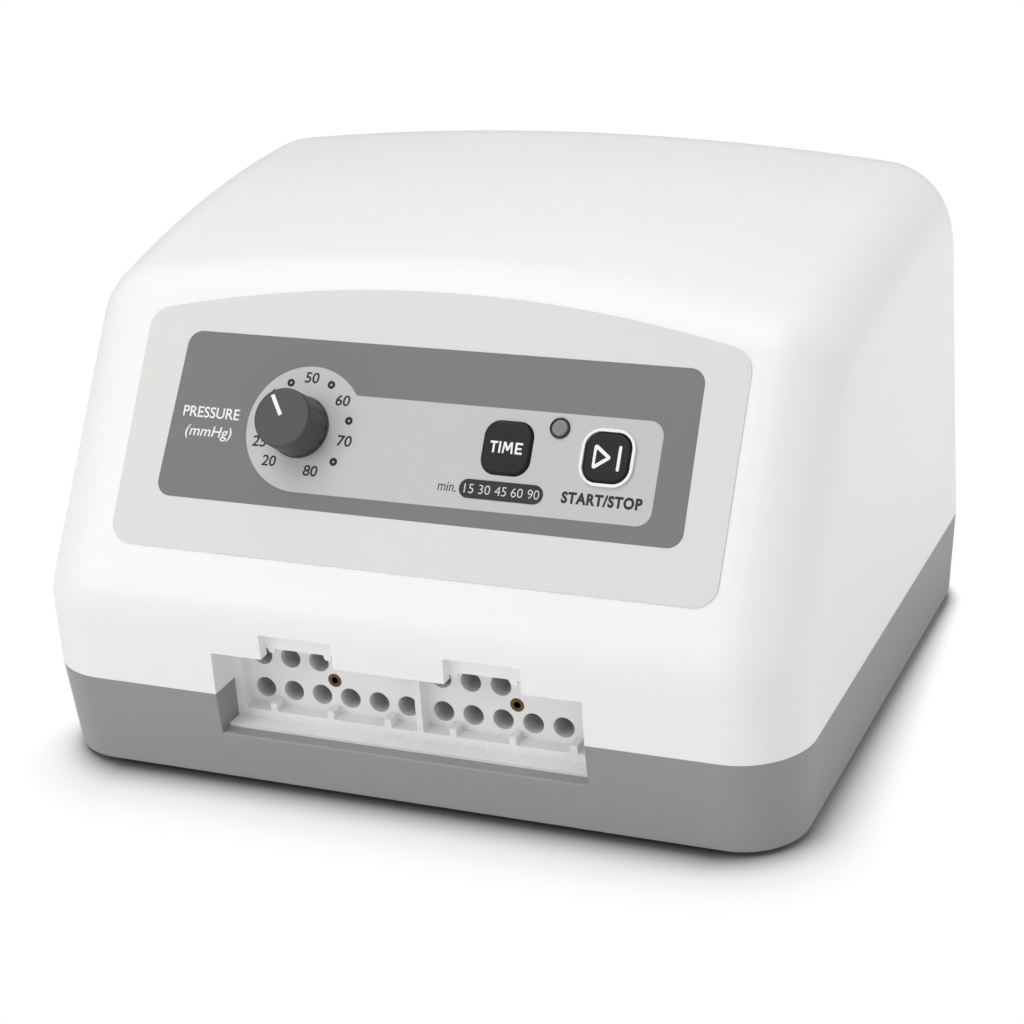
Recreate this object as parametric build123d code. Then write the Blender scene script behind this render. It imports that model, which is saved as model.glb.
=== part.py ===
from build123d import *
import os
from math import cos, pi, radians, sin, tan

# Compression therapy pump. Millimetres, +X to the right, +Y to the back, +Z up.
# The origin is on the standing plane, below the middle of the case.

# Case
body_width = 280.0
body_depth = 234.0
body_height = 183.8        # feet included
foot_stand = 1.5           # how far the feet stand proud of the tray
base_height = 34.0         # grey tray, up to the parting line
base_inset = 2.8           # how far the tray draws in at its bottom edge
base_edge_round = 2.0
skirt_height = 31.5        # upright front of the cover, parting line to bend
slope_lean = 34.4          # degrees from upright, front slope
back_lean = 2.5            # degrees from upright, rear wall
crown_radius = 495.0       # top, front to back
crown_side_radius = 1060.0 # top, side to side
crown_back = 46.0          # highest line of the top, in front of the rear face
side_round = 25.0
bend_round = 26.0
crest_round = 26.0
back_round = 36.0
shell_wall = 3.0
base_wall = 3.0
base_floor = 3.0

# Connector opening in the front
opening_left = 67.0        # from the middle of the case
opening_right = 69.4
opening_top = 51.3
opening_floor = 20.0
sill_round = 0.8            # front edge of the opening floor
opening_depth = 13.4
opening_rim = 4.5          # thickness of the skin around the opening
notch_width = 27.5
notch_top = 60.5
notch_shift = 3.25         # left of the middle of its bay
hood_wall = 2.5
hood_headroom = 2.0        # inside the hood, above the notches
shelf_thick = 3.0
shelf_margin = 12.0        # shelf beyond the opening, at each side

# Manifold with its two bays of air ports
bay_middle = 3.65          # the wall between the two bays
bay_spacing = 68.4
pocket_width = 66.1
pocket_floor = 24.1
pocket_top = 52.5
pocket_depth = 5.7
block_lap = 2.5            # how far the block laps behind the opening's sides
block_top = 58.0
block_depth = 23.6
foot_plate_reach = 6.9
foot_plate_thick = 1.0
port_radius = 3.8
port_depth = 14.0
port_pitch = 11.0
port_count = 6
upper_port_count = 3
lower_port_z = 30.1
upper_port_z = 42.8
feed_radius = 1.5
rib_thick = 2.5
rib_height = 3.0
insert_radius = 2.55
insert_bore_radius = 1.25
insert_length = 8.0
insert_z = 36.3
ear_length = 9.0
ear_width = 12.0
ear_thick = 3.0
cover_thick = 3.0
cover_margin = 7.0
keeper_thick = 2.0
keeper_lap = 3.0
keeper_bottom = 53.7
keeper_tab_bottom = 51.8
keeper_tab_width = 2.6

# Control face, measured on the slope: across from the middle, up from the bend
panel_left = 109.3
panel_right = 112.0
panel_low = 20.3
panel_high = 116.8
panel_arc_radius = 475.0
panel_corner = 8.0
panel_thick = 0.4
dial_u = -43.5
dial_v = 66.4
knob_height = 14.2
knob_radius = 10.3
knob_base_radius = 10.55
knob_rim_radius = 10.85
knob_rim_height = 0.8
knob_rise = 0.5            # gap between the knob and the label
knob_flutes = 14
knob_flute_radius = 2.4
knob_flute_depth = 0.3
knob_edge_round = 0.9
knob_cavity_radius = 7.4
knob_cavity_depth = 3.2
pointer_width = 1.4
pointer_inner = 0.9
pointer_outer = 8.8
pointer_depth = 0.5
pointer_angle = 32.5       # degrees left of straight up
key_gap = 0.3
key_proud = 1.4
key_round = 1.0
key_flange = 1.0
key_flange_thick = 1.2
key_corner = 5.5
key_stem_radius = 2.0
time_key_u = 33.2
time_key_v = 65.75
time_key_width = 17.1
time_key_height = 17.9
start_key_u = 68.5
start_key_v = 65.5
start_ring_width = 18.5
start_ring_height = 19.2
start_ring_band = 1.3
start_ring_thick = 1.4
lamp_u = 50.5
lamp_v = 73.95
lamp_radius = 3.0
lamp_bezel_radius = 3.5
lamp_bezel_thick = 0.8
window_u = 33.4
window_v = 51.2
window_width = 29.8
window_height = 6.4
window_proud = 0.2         # above the label
lens_flange = 0.8
lens_flange_thick = 1.0

# Control board behind the slope
board_drop = 14.0          # outer face of the slope to the board
board_thick = 1.6
board_left = 70.0
board_right = 92.0
board_low = 30.0
board_high = 98.0
board_post_radius = 3.6
board_post_inset = 5.0
board_screw_radius = 1.2
board_screw_length = 8.0
board_screw_head_radius = 2.6
board_screw_head = 1.8
switch_size = 6.2
switch_height = 3.6
switch_reach = 0.9         # rest gap between a key's stem and its switch
switch_plunger_radius = 1.7
led_size = 2.2
led_height = 1.0
led_pitch = 5.3
led_count = 5
pot_radius = 8.5
bushing_radius = 3.5
pot_bore_clearance = 0.05
shaft_radius = 3.0
shaft_tail = 9.0           # shaft inside the potentiometer
pot_nut_across = 10.0
pot_nut_thick = 2.0

# Case screws, posts and feet
post_radius = 5.0
post_u = 125.5             # across from the middle
post_v = 102.5
post_rib_thick = 2.5
case_post_height = 22.0    # above the parting line
case_screw_radius = 1.75
case_screw_head_radius = 3.5
case_screw_head = 3.0
case_screw_seat = 6.5      # above the tray's underside
case_screw_bite = 14.0
foot_radius = 8.0
foot_sunk = 1.0
foot_u = 100.0
foot_v = 84.0
floor_slot_count = 7
floor_slot_length = 44.0
floor_slot_width = 3.0
floor_slot_pitch = 7.0
floor_slots_x = -56.0
floor_slots_y = -42.0

# Frames that the pieces are placed in
parting_z = foot_stand + base_height
floor_z = foot_stand + base_floor
bend_z = parting_z + skirt_height
front_y = -body_depth / 2
back_y = body_depth / 2
crown_y = back_y - crown_back
lean = radians(slope_lean)
slope = Plane(origin=(0, front_y, bend_z), x_dir=(1, 0, 0), z_dir=(0, -cos(lean), sin(lean)))
rear_height = 100.0        # middle of the rear fittings
rear_tilt = radians(back_lean)
rear_middle_y = back_y - (rear_height - parting_z) * tan(rear_tilt)
rear = Plane(origin=(0, rear_middle_y, rear_height), x_dir=(-1, 0, 0),
             z_dir=(0, cos(rear_tilt), sin(rear_tilt)))


def box(x0, x1, y0, y1, z0, z1):
    middle = ((x0 + x1) / 2, (y0 + y1) / 2, (z0 + z1) / 2)
    return Pos(*middle) * Box(x1 - x0, y1 - y0, z1 - z0)


def rod(x, y, z0, z1, radius):
    """Upright cylinder between two heights."""
    return Pos(x, y, (z0 + z1) / 2) * Cylinder(radius, z1 - z0)


def rod_x(x0, x1, y, z, radius):
    return Pos((x0 + x1) / 2, y, z) * Rot(0, 90, 0) * Cylinder(radius, x1 - x0)


def rod_y(x, y0, y1, z, radius):
    return Pos(x, (y0 + y1) / 2, z) * Rot(90, 0, 0) * Cylinder(radius, y1 - y0)


def slab(u, v, width, height, corner, z0, z1):
    """Plate with round corners, between two heights over its plane."""
    face = Pos(u, v) * RectangleRounded(width, height, min(corner, height / 2 - 0.01))
    return Pos(0, 0, z0) * extrude(face, amount=z1 - z0)


def save(name, *shapes):
    solids = [solid for shape in shapes for solid in shape.solids()]
    export_step(Compound(children=solids), "parts/" + name + ".step")
    print(name, len(solids), "solids, valid", all(solid.is_valid for solid in solids))


def long_edges(shape):
    """Edges that run across the upper half of the case, front to back."""
    across = [edge for edge in shape.edges()
              if abs(edge.center().X) < 1 and edge.bounding_box().size.X > body_width / 3
              and edge.center().Z > (bend_z + body_height) / 2]
    return sorted(across, key=lambda edge: edge.center().Y)


def body_form(inset):
    """Case above the parting line, every face moved in by the inset."""
    half = body_width / 2 - inset
    front = front_y + inset
    bend = bend_z - inset * tan(lean / 2)
    rise = body_height + crown_back
    back = back_y - inset / cos(rear_tilt)
    outline = [(front, parting_z), (front, bend), (front + (rise - bend) * tan(lean), rise),
               (back - (rise - parting_z) * tan(rear_tilt), rise), (back, parting_z)]
    form = extrude(Plane.YZ * make_face(Polyline(outline, close=True)), amount=half, both=True)
    bend_edge = sorted(form.edges().filter_by(Axis.X),
                       key=lambda edge: (edge.center() - Vector(0, front, bend)).length)[0]
    form = fillet(bend_edge, bend_round - inset)
    top = body_height - inset
    side = crown_side_radius - inset
    reach = half + 5
    edge_z = top - side + (side ** 2 - reach ** 2) ** 0.5
    axle_z = top - crown_radius + inset
    section = make_face([Line((-reach, axle_z), (reach, axle_z)),
                         Line((reach, axle_z), (reach, edge_z)),
                         ThreePointArc((reach, edge_z), (0, top), (-reach, edge_z)),
                         Line((-reach, edge_z), (-reach, axle_z))])
    axle = Axis((0, crown_y, axle_z), (1, 0, 0))
    upright = Plane(origin=(0, crown_y, 0), x_dir=(1, 0, 0), z_dir=(0, -1, 0))
    drum = revolve((upright * section).rotate(axle, 35), axis=axle, revolution_arc=-70)
    form = form & drum
    form = fillet(long_edges(form)[0], crest_round - inset)
    form = fillet(long_edges(form)[-1], back_round - inset)
    rims = [edge for edge in form.edges()
            if abs(abs(edge.center().X) - half) < 0.001 and edge.bounding_box().size.X < 0.001
            and edge.center().Z > parting_z + 1]
    return fillet(rims, side_round - inset)


def tray_form(inset, bottom, top):
    """Tray between two heights, drawn in towards its bottom edge."""
    def outline(z):
        draw = inset + base_inset * (parting_z - z) / base_height
        size = Plane.XY.offset(z)
        return size * RectangleRounded(body_width - 2 * draw, body_depth - 2 * draw, side_round - draw)
    return loft([outline(bottom), outline(top)], ruled=True)


# Connector opening, seen from the front
notch_mids = [bay_middle + side * bay_spacing / 2 - notch_shift for side in (-1, 1)]
bay_mids = [bay_middle + side * bay_spacing / 2 for side in (-1, 1)]
hood_roof = notch_top + hood_headroom
rim_back = front_y + opening_rim
block_front = front_y + opening_depth
block_back = block_front + block_depth
port_face = block_front + pocket_depth
posts = [(sx * post_u, sy * post_v) for sx in (-1, 1) for sy in (-1, 1)]

# Board layout, in the frame of the slope
board_posts = [(-board_left + board_post_inset, board_low + board_post_inset),
               (-board_left + board_post_inset, board_high - board_post_inset),
               (board_right - board_post_inset, board_low + board_post_inset),
               (board_right - board_post_inset, board_high - board_post_inset)]
switch_top = -board_drop + switch_height + 1.4
start_key_width = start_ring_width - 2 * start_ring_band
start_key_height = start_ring_height - 2 * start_ring_band
keys = {"time": (time_key_u, time_key_v, time_key_width, time_key_height),
        "start": (start_key_u, start_key_v, start_key_width, start_key_height)}

# Rear fittings, in the frame of the rear wall: across to the left, up, and out
recess_x = -82.0
recess_width = 62.0
recess_height = 42.0
recess_depth = 5.0
inlet_width = 56.0
inlet_height = 34.0
inlet_flange = 2.0
inlet_body_width = 46.0
inlet_body_height = 28.0
inlet_body_depth = 24.0
socket_width = 24.5
socket_height = 16.5
socket_depth = 16.0
socket_shift = 9.0
socket_lift = -3.0
pin_width = 2.0
pin_height = 4.0
pin_length = 12.0
pin_spacing = 7.0
pin_offset = 2.0
fuse_width = 24.0
fuse_height = 6.0
fuse_depth = 18.0
fuse_lift = 9.8
fuse_gap = 0.3
rocker_width = 12.0
rocker_height = 20.0
rocker_shift = -15.0
rocker_depth = 9.0
rocker_gap = 0.4
rocker_pin_radius = 1.0
rocker_bore_clearance = 0.05
rocker_swing = 8.0         # degrees each way
inlet_screw_radius = 1.5
inlet_screw_head_radius = 2.6
inlet_screw_head = 1.2
inlet_screw_spacing = 51.0
inlet_screw_length = 9.0
fan_x = 70.0
fan_size = 60.0
fan_depth = 15.0
fan_bore_radius = 28.0
fan_hub_radius = 12.0
fan_blade_gap = 0.8
fan_blade_count = 7
fan_blade_thick = 1.6
fan_spindle_radius = 1.5
fan_spindle_clearance = 0.05
fan_spoke = 3.0
fan_spoke_depth = 2.5
fan_hole_spacing = 50.0
fan_screw_radius = 1.6
fan_screw_head_radius = 3.0
fan_screw_head = 1.8
fan_post_radius = 4.0
fan_post_height = 3.0
grille_slot_width = 3.2
grille_slot_pitch = 6.4
grille_slot_count = 8
grille_radius = 27.0

rear_inner = -shell_wall
recess_inner = -recess_depth - shell_wall


def key_hole(name, clearance, z0, z1):
    u, v, width, height = keys[name]
    return slab(u, v, width + 2 * clearance, height + 2 * clearance, key_corner, z0, z1)


def start_surround():
    """White surround of the start key, standing on the cover."""
    ring = slab(start_key_u, start_key_v, start_ring_width, start_ring_height,
                key_corner + start_ring_band, 0, start_ring_thick)
    return slope * (ring - key_hole("start", key_gap, -1, start_ring_thick + 1))


def opening_cut(y0, y1, z0):
    """Outline of the connector opening with its two notches."""
    cut = box(-opening_left, opening_right, y0, y1, z0, opening_top)
    for x in notch_mids:
        cut += box(x - notch_width / 2, x + notch_width / 2, y0, y1, opening_top - 1, notch_top)
    return cut


def post_ribs(x, y, z0, z1):
    """Two ribs that tie a corner post to the side wall and to the end wall."""
    wall_x = (body_width / 2 - shell_wall / 2) * (1 if x > 0 else -1)
    wall_y = (body_depth / 2 - shell_wall / 2) * (1 if y > 0 else -1)
    half = post_rib_thick / 2
    return [box(min(x, wall_x), max(x, wall_x), y - half, y + half, z0, z1),
            box(x - half, x + half, min(y, wall_y), max(y, wall_y), z0, z1)]


def hood():
    """Box behind the connector opening that the manifold closes from the rear."""
    left = -opening_left - hood_wall
    right = opening_right + hood_wall
    walls = box(left, right, front_y + shell_wall / 2, block_front, parting_z, hood_roof + hood_wall)
    inside = box(-opening_left, opening_right, rim_back, block_front + 1, parting_z - 1, hood_roof)
    return walls - inside


def upper_shell():
    outer = body_form(0)
    shell = outer - body_form(shell_wall)
    hidden = [hood()]
    for x, y in posts:
        hidden.append(rod(x, y, parting_z, parting_z + case_post_height, post_radius))
        hidden += post_ribs(x, y, parting_z, parting_z + case_post_height)
    for u, v in board_posts:
        hidden.append(slope * rod(u, v, -board_drop, -shell_wall / 2, board_post_radius))
    hidden.append(rear * box(recess_x - recess_width / 2 - shell_wall, recess_x + recess_width / 2 + shell_wall,
                             -recess_height / 2 - shell_wall, recess_height / 2 + shell_wall,
                             recess_inner, rear_inner / 2))
    for u, v in fan_posts():
        hidden.append(rear * rod(u, v, rear_inner - fan_post_height, rear_inner / 2, fan_post_radius))
    for piece in hidden:
        shell += piece & outer
    shell -= opening_cut(front_y - 1, rim_back + 0.5, parting_z - 1)
    for x, y in posts:
        shell -= rod(x, y, parting_z - 1, parting_z + case_screw_bite, case_screw_radius)
    cuts = [key_hole("time", key_gap, -shell_wall * 2, 1), key_hole("start", key_gap, -shell_wall * 2, 1),
            rod(lamp_u, lamp_v, -shell_wall * 2, 1, lamp_radius + key_gap / 2),
            slab(window_u, window_v, window_width, window_height, window_height / 2, -shell_wall * 2, 1),
            rod(dial_u, dial_v, -shell_wall * 2, 1, bushing_radius)]
    for u, v in board_posts:
        cuts.append(rod(u, v, -board_drop - 1, -board_drop - board_thick + board_screw_length,
                        board_screw_radius))
    for cut in cuts:
        shell -= slope * cut
    rear_cuts = [box(recess_x - recess_width / 2, recess_x + recess_width / 2,
                     -recess_height / 2, recess_height / 2, -recess_depth, 5),
                 box(recess_x - inlet_body_width / 2, recess_x + inlet_body_width / 2,
                     -inlet_body_height / 2, inlet_body_height / 2, recess_inner - 1, 0)]
    for side in (-1, 1):
        rear_cuts.append(rod(recess_x + side * inlet_screw_spacing / 2, 0, recess_inner - 1, 0,
                             inlet_screw_radius))
    for u, v in fan_posts():
        rear_cuts.append(rod(u, v, rear_inner - fan_post_height - 1, rear_inner / 2, fan_screw_radius))
    for row in range(grille_slot_count):
        v = (row - (grille_slot_count - 1) / 2) * grille_slot_pitch
        reach = (grille_radius ** 2 - v ** 2) ** 0.5
        rear_cuts.append(slab(fan_x, v, 2 * reach, grille_slot_width, grille_slot_width / 2, -shell_wall - 1, 3))
    for cut in rear_cuts:
        shell -= rear * cut
    return shell


def base_tray():
    outer = tray_form(0, foot_stand, parting_z)
    low = [edge for edge in outer.edges() if edge.center().Z < foot_stand + 0.01]
    outer = fillet(low, base_edge_round)
    tray = outer - tray_form(base_wall, floor_z, parting_z + 1)
    left = -opening_left - shelf_margin
    right = opening_right + shelf_margin
    hidden = [box(left, right, front_y, block_back, opening_floor - shelf_thick, opening_floor),
              box(-opening_left - hood_wall, -opening_left, front_y, block_front,
                  opening_floor - 1, parting_z),
              box(opening_right, opening_right + hood_wall, front_y, block_front,
                  opening_floor - 1, parting_z),
              box(left, left + shelf_thick, front_y, block_back, floor_z - 1, opening_floor - 1),
              box(right - shelf_thick, right, front_y, block_back, floor_z - 1, opening_floor - 1)]
    for x, y in posts:
        hidden.append(rod(x, y, foot_stand, parting_z, post_radius))
        hidden += post_ribs(x, y, floor_z - 1, parting_z)
    for x, y, height, radius in floor_pads():
        hidden.append(rod(x, y, floor_z - 1, floor_z + height, radius))
    for piece in hidden:
        tray += piece & outer
    tray -= box(-opening_left, opening_right, front_y - 1, block_front + 1, opening_floor, parting_z + 1)
    sill = [edge for edge in tray.edges()
            if abs(edge.center().Z - opening_floor) < 0.05 and edge.center().Y < block_front - 5
            and edge.bounding_box().size.X > body_width / 3]
    tray = fillet(sill, sill_round)
    for x, y in posts:
        tray -= rod(x, y, 0, parting_z + 1, case_screw_radius + 0.3)
        tray -= rod(x, y, 0, foot_stand + case_screw_seat, case_screw_head_radius + 0.2)
    for x, y in feet():
        tray -= rod(x, y, 0, foot_stand + foot_sunk, foot_radius)
    for x, y in supply_spots():
        tray -= rod(x, y, supply_low - supply_screw_bite, supply_low + 1, supply_screw_radius)
    for x in ear_mids:
        tray -= rod(x, ear_y, opening_floor - shelf_thick - 1, opening_floor + 1, manifold_screw_radius)
    for row in range(floor_slot_count):
        y = floor_slots_y + (row - (floor_slot_count - 1) / 2) * floor_slot_pitch
        tray -= Pos(0, 0, -1) * slab(floor_slots_x, y, floor_slot_length, floor_slot_width,
                                     floor_slot_width / 2, 0, floor_z + 2)
    return tray


def feet():
    return [(sx * foot_u, sy * foot_v) for sx in (-1, 1) for sy in (-1, 1)]


def panel_overlay():
    """Printed label on the slope, with its top edge curved like the cover."""
    left = -panel_left
    right = panel_right
    mid = (left + right) / 2
    half = (right - left) / 2
    corner_v = panel_high - panel_arc_radius + (panel_arc_radius ** 2 - half ** 2) ** 0.5
    rim = [Line((left, panel_low), (right, panel_low)), Line((right, panel_low), (right, corner_v)),
           ThreePointArc((right, corner_v), (mid, panel_high), (left, corner_v)),
           Line((left, corner_v), (left, panel_low))]
    label = extrude(make_face(rim), amount=panel_thick)
    label = fillet(label.edges().filter_by(Axis.Z), panel_corner)
    label -= key_hole("time", key_gap, -1, 1)
    label -= slab(start_key_u, start_key_v, start_ring_width, start_ring_height,
                  key_corner + start_ring_band, -1, 1)
    label -= rod(lamp_u, lamp_v, -1, 1, lamp_radius + key_gap / 2)
    label -= slab(window_u, window_v, window_width, window_height, window_height / 2, -1, 1)
    label -= rod(dial_u, dial_v, -1, 1, bushing_radius)
    return slope * label


def key(name, proud):
    """Key cap with its retaining flange and the stem that reaches for the switch."""
    u, v, width, height = keys[name]
    flange_top = -shell_wall - key_gap
    cap = slab(u, v, width, height, key_corner, flange_top - key_flange_thick / 2, proud)
    cap = fillet(cap.edges().sort_by(Axis.Z)[-8:], key_round)
    flange = slab(u, v, width + 2 * key_flange, height + 2 * key_flange, key_corner + key_flange,
                  flange_top - key_flange_thick, flange_top)
    stem = rod(u, v, switch_top + switch_reach, flange_top, key_stem_radius)
    return slope * (cap + flange + stem)


def lamp_lens():
    dome = rod(lamp_u, lamp_v, -shell_wall - lens_flange_thick, panel_thick + lamp_bezel_thick, lamp_radius)
    dome = fillet(dome.edges().sort_by(Axis.Z)[-1], lamp_radius / 3)
    flange = rod(lamp_u, lamp_v, -shell_wall - lens_flange_thick, -shell_wall, lamp_radius + lens_flange)
    return slope * (dome + flange)


def lamp_bezel():
    ring = rod(lamp_u, lamp_v, panel_thick, panel_thick + lamp_bezel_thick, lamp_bezel_radius)
    ring = fillet(ring.edges().sort_by(Axis.Z)[-1], lamp_bezel_thick / 2)
    return slope * (ring - rod(lamp_u, lamp_v, 0, 3, lamp_radius + key_gap / 2))


def time_window():
    pill = slab(window_u, window_v, window_width, window_height, window_height / 2,
                -shell_wall, panel_thick + window_proud)
    flange = slab(window_u, window_v, window_width + 2 * lens_flange, window_height + 2 * lens_flange,
                  window_height, -shell_wall - lens_flange_thick, -shell_wall)
    return slope * (pill + flange)


def pressure_knob():
    foot = panel_thick + knob_rise
    top = foot + knob_height
    skirt = Pos(dial_u, dial_v, (foot + top) / 2) * Cone(knob_base_radius, knob_radius, knob_height)
    skirt = fillet(skirt.edges().sort_by(Axis.Z)[-1], knob_edge_round)
    for step in range(knob_flutes):
        turn = 2 * pi * step / knob_flutes
        out = knob_base_radius + knob_flute_radius - knob_flute_depth
        x = dial_u + out * cos(turn)
        y = dial_v + out * sin(turn)
        groove_top = top - 2 * knob_edge_round
        skirt -= rod(x, y, foot + knob_rim_height, groove_top, knob_flute_radius)
    knob = skirt + rod(dial_u, dial_v, foot, foot + knob_rim_height, knob_rim_radius)
    knob -= rod(dial_u, dial_v, foot - 1, foot + knob_cavity_depth, knob_cavity_radius)
    knob -= rod(dial_u, dial_v, foot, top - knob_edge_round - 2, shaft_radius)
    return slope * (knob - pointer_bar())


def pointer_bar():
    """Inlaid line from near the middle of the knob's top to its edge."""
    top = panel_thick + knob_rise + knob_height
    bar = box(-pointer_width / 2, pointer_width / 2, pointer_inner, pointer_outer, top - pointer_depth, top)
    return Pos(dial_u, dial_v) * Rot(0, 0, pointer_angle) * bar


def potentiometer():
    body = rod(dial_u, dial_v, -board_drop, -shell_wall, pot_radius)
    bushing = rod(dial_u, dial_v, -shell_wall, panel_thick, bushing_radius)
    bore = rod(dial_u, dial_v, -shell_wall - shaft_tail, 1, shaft_radius + pot_bore_clearance)
    return slope * (body + bushing - bore)


def pot_shaft():
    top = panel_thick + knob_rise + knob_height - knob_edge_round - 2
    return slope * rod(dial_u, dial_v, -shell_wall - shaft_tail + 0.1, top, shaft_radius)


def pot_nut():
    hexagon = RegularPolygon(pot_nut_across / 2, 6, major_radius=False)
    nut = Pos(dial_u, dial_v, panel_thick) * extrude(hexagon, amount=pot_nut_thick)
    return slope * (nut - rod(dial_u, dial_v, 0, 5, bushing_radius))


def control_board():
    mid_u = (board_right - board_left) / 2
    mid_v = (board_low + board_high) / 2
    board = slab(mid_u, mid_v, board_left + board_right, board_high - board_low, 3,
                 -board_drop - board_thick, -board_drop)
    for u, v in board_posts:
        board -= rod(u, v, -board_drop - 3, -board_drop + 1, board_screw_radius + 0.2)
    return slope * board


def board_screws():
    back = -board_drop - board_thick
    return [slope * (rod(u, v, back, back + board_screw_length, board_screw_radius)
                     + rod(u, v, back - board_screw_head, back, board_screw_head_radius))
            for u, v in board_posts]


def key_switches():
    switches = []
    for u, v, width, height in keys.values():
        body = slab(u, v, switch_size, switch_size, 0.5, -board_drop, -board_drop + switch_height)
        plunger = rod(u, v, -board_drop + switch_height - 0.5, switch_top, switch_plunger_radius)
        switches.append(slope * (body + plunger))
    return switches


def indicator_leds():
    """Lamps on light pipes: one behind the status lens, five behind the time window."""
    tops = -shell_wall - lens_flange_thick
    spots = [(lamp_u, lamp_v)]
    for step in range(led_count):
        spots.append((window_u + (step - (led_count - 1) / 2) * led_pitch, window_v))
    return [slope * slab(u, v, led_size, led_size, 0.3, -board_drop, tops - 0.2) for u, v in spots]

# Manifold fixings and hoses
manifold_screw_radius = 1.5
manifold_screw_head_radius = 2.8
manifold_screw_head = 2.0
manifold_screw_length = 10.0
cover_screw_length = 10.0
cover_screw_inset = 4.0
barb_radius = 2.2
barb_bore_radius = 1.2
barb_length = 8.0
hose_radius = 3.2
outlet_count = 4
outlet_pitch = 11.0
outlet_x = 42.0            # in line with the valve
outlet_z = 38.0
ear_mids = [-opening_left - block_lap - ear_length / 2, opening_right + block_lap + ear_length / 2]
ear_y = block_front + ear_width
cover_back = block_back + cover_thick
outlet_xs = [outlet_x + (step - (outlet_count - 1) / 2) * outlet_pitch for step in range(outlet_count)]

# Rotary distribution valve on its gear motor
valve_x = outlet_x
valve_y = 6.0
motor_size = 42.0
motor_height = 24.0
motor_pad_radius = 4.0
motor_pad_height = 4.0
motor_pad_inset = 6.0
valve_radius = 25.0
valve_front = 18.0         # flat with the outlets, in front of the axis
valve_height = 18.0
valve_floor = 5.0
rotor_radius = 17.0
rotor_height = 10.0
rotor_side_gap = 0.3
rotor_end_gap = 0.3
rotor_slot_radius = 4.0
rotor_slot_shift = 9.0
valve_shaft_radius = 2.5
valve_shaft_clearance = 0.05
valve_shaft_tail = 12.0
valve_cover_thick = 4.0
valve_outlet_pitch = 8.0
valve_screw_radius = 1.5
valve_screw_shift = 21.0
motor_base = floor_z + motor_pad_height
valve_base = motor_base + motor_height
chamber_base = valve_base + valve_floor
valve_top = valve_base + valve_height
valve_outlet_z = valve_base + valve_height / 2
valve_outlet_xs = [valve_x + (step - (outlet_count - 1) / 2) * valve_outlet_pitch
                   for step in range(outlet_count)]

# Linear diaphragm compressor
plate_side_gap = 18.0      # from the case's left side
plate_back_gap = 44.0      # from the case's back
plate_length = 120.0
plate_width = 70.0
plate_thick = 2.0
pump_x = -body_width / 2 + plate_side_gap + plate_length / 2
pump_y = body_depth / 2 - plate_back_gap - plate_width / 2
mount_radius = 6.0
mount_height = 8.0
mount_pad_height = 1.5
mount_inset = 9.0
core_half = 28.0
core_leg = 12.0
core_inner = 9.0
core_outer = 25.0
core_yoke = 6.0
core_height = 40.0
coil_build = 5.0
coil_height = 22.0
end_thick = 4.0
end_half = 24.0
end_height = 52.0
chamber_radius = 14.5
diaphragm_thick = 2.0
diaphragm_radius = 20.0
piston_radius = 12.0
piston_thick = 3.0
piston_gap = 0.3
armature_half = 20.0
armature_width = 10.0
armature_height = 30.0
armature_rod_radius = 3.0
armature_stroke = 1.5      # each way
head_depth = 18.0
head_half = 22.0
head_height = 44.0
head_chamber = 5.0
nipple_length = 9.0
nipple_spread = 8.0        # from the axis, for the balance and the supply nipples
nipple_inset = 9.0
hose_rise = 40.0
hose_bend = 30.0
plate_base = floor_z + mount_pad_height + mount_height
plate_top = plate_base + plate_thick
axis_z = plate_top + end_height / 2

# Intake filter, transformer and supply board
filter_x = -8.0
filter_back_gap = 13.0     # from the case's back
filter_radius = 12.0
filter_y = body_depth / 2 - filter_back_gap - filter_radius
filter_height = 22.0
core_side_gap = 15.0       # from the case's right side to the bracket
core_y = 62.0
lamination_length = 60.0
lamination_width = 34.0
lamination_height = 50.0
lamination_leg = 10.0
lamination_middle = 20.0
winding_build = 7.0
winding_gap = 0.5
bracket_length = 80.0
bracket_thick = 1.5
core_x = body_width / 2 - core_side_gap - bracket_length / 2
supply_side_gap = 10.0     # from the case's right side
supply_y = -27.0
supply_length = 52.0
supply_x = body_width / 2 - supply_side_gap - supply_length / 2
supply_width = 66.0
supply_board_thick = 1.6
supply_pad_radius = 4.5
supply_pad_height = 8.0
supply_pad_inset = 5.0
supply_screw_radius = 1.5
supply_screw_bite = 7.0
supply_screw_head = 1.8
supply_screw_head_radius = 2.8
capacitor_radius = 8.0
capacitor_height = 26.0
heatsink_length = 44.0
heatsink_thick = 6.0
heatsink_height = 24.0
heatsink_edge_gap = 9.0    # from the board's end


def motor_pads():
    reach = motor_size / 2 - motor_pad_inset
    return [(valve_x + sx * reach, valve_y + sy * reach) for sx in (-1, 1) for sy in (-1, 1)]


def mount_spots():
    return [(pump_x + sx * (plate_length / 2 - mount_inset), pump_y + sy * (plate_width / 2 - mount_inset))
            for sx in (-1, 1) for sy in (-1, 1)]


def supply_spots():
    return [(supply_x + sx * (supply_length / 2 - supply_pad_inset),
             supply_y + sy * (supply_width / 2 - supply_pad_inset)) for sx in (-1, 1) for sy in (-1, 1)]


def floor_pads():
    """Pads on the tray's floor: place, height and radius of each."""
    pads = [(x, y, motor_pad_height, motor_pad_radius) for x, y in motor_pads()]
    pads += [(x, y, mount_pad_height, mount_radius) for x, y in mount_spots()]
    pads += [(x, y, supply_pad_height, supply_pad_radius) for x, y in supply_spots()]
    return pads


def fan_posts():
    reach = fan_hole_spacing / 2
    return [(fan_x + sx * reach, sy * reach) for sx in (-1, 1) for sy in (-1, 1)]


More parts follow.
